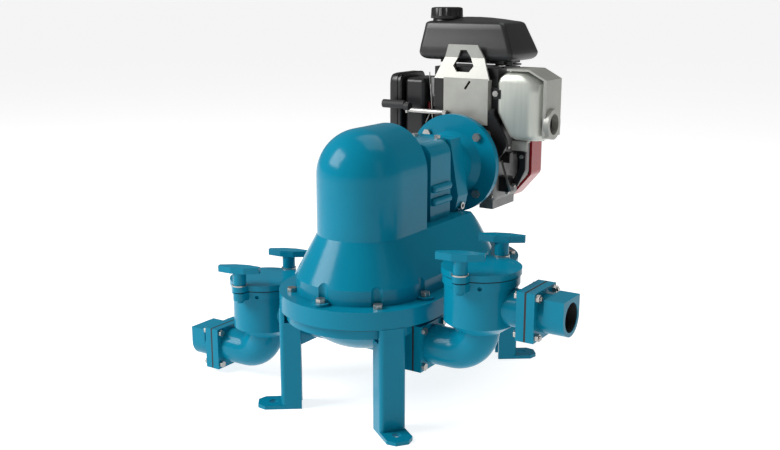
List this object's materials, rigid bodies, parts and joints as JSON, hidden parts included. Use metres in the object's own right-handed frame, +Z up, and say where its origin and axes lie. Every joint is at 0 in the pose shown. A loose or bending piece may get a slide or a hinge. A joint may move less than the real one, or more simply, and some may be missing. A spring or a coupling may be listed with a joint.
{
  "type": "engine driven diaphragm trash pump",
  "caption": "petrol engine driven diaphragm pump on legs, with ball valve chambers on both sides, screw-down lids and a lifting bracket",
  "frame": {"origin": "on the floor, midway between the four foot bolt holes", "axes": "+Z up, +X towards the discharge port, +Y from the pump towards the engine"},
  "size_m": [0.68, 0.611, 0.6032],
  "materials": {
    "teal_paint": "gloss enamel over castings",
    "zinc_bolts": "zinc plated",
    "black_rubber": "smooth",
    "machined_steel": "machined",
    "engine_casting": "as cast",
    "black_sheet": "satin black",
    "tank_grey": "satin dark grey",
    "black_plastic": "moulded",
    "galvanised_sheet": "plated sheet",
    "muffler_steel": "brushed",
    "red_cover": "gloss red"
  },
  "bodies": {
    "frame": {"adapter": "teal_paint", "adapter_ring": "black_rubber", "air_cleaner": "black_plastic", "air_cover": "black_plastic", "base_frame": "teal_paint", "bearings": "machined_steel", "bowl": "teal_paint", "carburetor": "engine_casting", "crankcase": "engine_casting", "cylinder": "engine_casting", "diaphragm_rim": "black_rubber", "discharge_nozzle": "teal_paint", "discharge_valve_body": "teal_paint", "drive_bolts": "zinc_bolts", "drive_housing": "teal_paint", "fan_cover": "red_cover", "fuel_tank": "tank_grey", "governor_rod": "zinc_bolts", "hand_grip": "black_rubber", "hand_rod": "zinc_bolts", "housing_bolts": "zinc_bolts", "lid_gaskets": "black_rubber", "lifting_bracket": "galvanised_sheet", "muffler": "muffler_steel", "muffler_bolt": "zinc_bolts", "muffler_guard": "galvanised_sheet", "oil_plug": "machined_steel", "plunger_guide": "machined_steel", "port_bolts": "zinc_bolts", "port_gaskets": "black_rubber", "recoil_cover": "red_cover", "reducer_housing": "teal_paint", "shroud": "black_sheet", "spark_plug": "zinc_bolts", "suction_nozzle": "teal_paint", "suction_valve_body": "teal_paint", "tank_bracket": "black_sheet", "valve_seats": "machined_steel"},
    "lay_gears": {"lay_shaft": "machined_steel"},
    "crank": {"crankshaft": "machined_steel"},
    "eccentric": {"eccentric_shaft": "machined_steel"},
    "rod": {"connecting_rod": "machined_steel"},
    "plunger_set": {"plunger": "machined_steel", "diaphragm_disc": "black_rubber"},
    "cap": {"fuel_cap": "black_plastic"},
    "throttle": {"throttle_lever": "engine_casting"},
    "starter": {"starter_grip": "black_plastic"},
    "switch": {"engine_switch": "black_plastic"},
    "discharge_ball": {"discharge_valve_ball": "black_rubber"},
    "discharge_cover": {"discharge_lid": "teal_paint"},
    "discharge_front_collar": {"discharge_washer_front": "zinc_bolts"},
    "discharge_front_tee": {"discharge_handle_front": "teal_paint"},
    "discharge_rear_collar": {"discharge_washer_rear": "zinc_bolts"},
    "discharge_rear_tee": {"discharge_handle_rear": "teal_paint"},
    "suction_ball": {"suction_valve_ball": "black_rubber"},
    "suction_cover": {"suction_lid": "teal_paint"},
    "suction_front_collar": {"suction_washer_front": "zinc_bolts"},
    "suction_front_tee": {"suction_handle_front": "teal_paint"},
    "suction_rear_collar": {"suction_washer_rear": "zinc_bolts"},
    "suction_rear_tee": {"suction_handle_rear": "teal_paint"}
  },
  "joints": [
    {"name": "crank_spin", "type": "hinge", "parent": "frame", "child": "crank", "pos_m": [0, 0.2285, 0.343], "axis": [0, 1, 0], "continuous": true},
    {"name": "lay_spin", "type": "hinge", "parent": "frame", "child": "lay_gears", "pos_m": [0, 0.0285, 0.308], "axis": [0, 1, 0], "continuous": true},
    {"name": "eccentric_spin", "type": "hinge", "parent": "frame", "child": "eccentric", "pos_m": [0, -0.0215, 0.343], "axis": [0, 1, 0], "continuous": true},
    {"name": "rod_swing", "type": "hinge", "parent": "eccentric", "child": "rod", "pos_m": [0.008, -0.1215, 0.343], "axis": [0, 1, 0], "continuous": true},
    {"name": "plunger_stroke", "type": "slide", "parent": "frame", "child": "plunger_set", "axis": [0, 0, 1], "range_m": [-0.008, 0.008]},
    {"name": "discharge_ball_lift", "type": "slide", "parent": "frame", "child": "discharge_ball", "axis": [0, 0, 1], "range_m": [0, 0.013]},
    {"name": "discharge_lid_lift", "type": "slide", "parent": "frame", "child": "discharge_cover", "axis": [0, 0, 1], "range_m": [0, 0.045]},
    {"name": "discharge_front_collar_rise", "type": "slide", "parent": "discharge_cover", "child": "discharge_front_collar", "axis": [0, 0, 1], "range_m": [0, 0.006], "stiffness_N_per_m": 5, "springref_m": 0.3379},
    {"name": "discharge_front_tee_turn", "type": "hinge", "parent": "discharge_front_collar", "child": "discharge_front_tee", "pos_m": [0.202, -0.1838, 0.272], "axis": [0, 0, 1], "range_deg": [0, 1080]},
    {"name": "discharge_rear_collar_rise", "type": "slide", "parent": "discharge_cover", "child": "discharge_rear_collar", "axis": [0, 0, 1], "range_m": [0, 0.006], "stiffness_N_per_m": 5, "springref_m": 0.3379},
    {"name": "discharge_rear_tee_turn", "type": "hinge", "parent": "discharge_rear_collar", "child": "discharge_rear_tee", "pos_m": [0.202, -0.0592, 0.272], "axis": [0, 0, 1], "range_deg": [0, 1080]},
    {"name": "suction_ball_lift", "type": "slide", "parent": "frame", "child": "suction_ball", "axis": [0, 0, 1], "range_m": [0, 0.013]},
    {"name": "suction_lid_lift", "type": "slide", "parent": "frame", "child": "suction_cover", "axis": [0, 0, 1], "range_m": [0, 0.045]},
    {"name": "suction_front_collar_rise", "type": "slide", "parent": "suction_cover", "child": "suction_front_collar", "axis": [0, 0, 1], "range_m": [0, 0.006], "stiffness_N_per_m": 5, "springref_m": 0.3379},
    {"name": "suction_front_tee_turn", "type": "hinge", "parent": "suction_front_collar", "child": "suction_front_tee", "pos_m": [-0.196, -0.1838, 0.193], "axis": [0, 0, 1], "range_deg": [0, 1080]},
    {"name": "suction_rear_collar_rise", "type": "slide", "parent": "suction_cover", "child": "suction_rear_collar", "axis": [0, 0, 1], "range_m": [0, 0.006], "stiffness_N_per_m": 5, "springref_m": 0.3379},
    {"name": "suction_rear_tee_turn", "type": "hinge", "parent": "suction_rear_collar", "child": "suction_rear_tee", "pos_m": [-0.196, -0.0592, 0.193], "axis": [0, 0, 1], "range_deg": [0, 1080]},
    {"name": "cap_turn", "type": "hinge", "parent": "frame", "child": "cap", "pos_m": [-0.061, 0.2305, 0.6], "axis": [0, 0, 1], "range_deg": [0, 90]},
    {"name": "throttle_turn", "type": "hinge", "parent": "frame", "child": "throttle", "pos_m": [-0.075, 0.2115, 0.452], "axis": [0, 1, 0], "range_deg": [-8, 15]},
    {"name": "starter_pull", "type": "slide", "parent": "frame", "child": "starter", "axis": [0, 1, 0], "range_m": [0, 0.06], "stiffness_N_per_m": 60},
    {"name": "switch_turn", "type": "hinge", "parent": "frame", "child": "switch", "pos_m": [0.084, 0.2705, 0.409], "axis": [0, 1, 0], "range_deg": [0, 30]}
  ],
  "couplings": [
    {"joint": "lay_spin", "follows": "crank_spin", "ratio": -0.4},
    {"joint": "eccentric_spin", "follows": "crank_spin", "ratio": 0.16},
    {"joint": "rod_swing", "follows": "crank_spin", "ratio": -0.16},
    {"joint": "discharge_front_collar_rise", "follows": "discharge_front_tee_turn", "m_per_rad": 0.00031831},
    {"joint": "discharge_rear_collar_rise", "follows": "discharge_rear_tee_turn", "m_per_rad": 0.00031831},
    {"joint": "suction_front_collar_rise", "follows": "suction_front_tee_turn", "m_per_rad": 0.00031831},
    {"joint": "suction_rear_collar_rise", "follows": "suction_rear_tee_turn", "m_per_rad": 0.00031831}
  ]
}
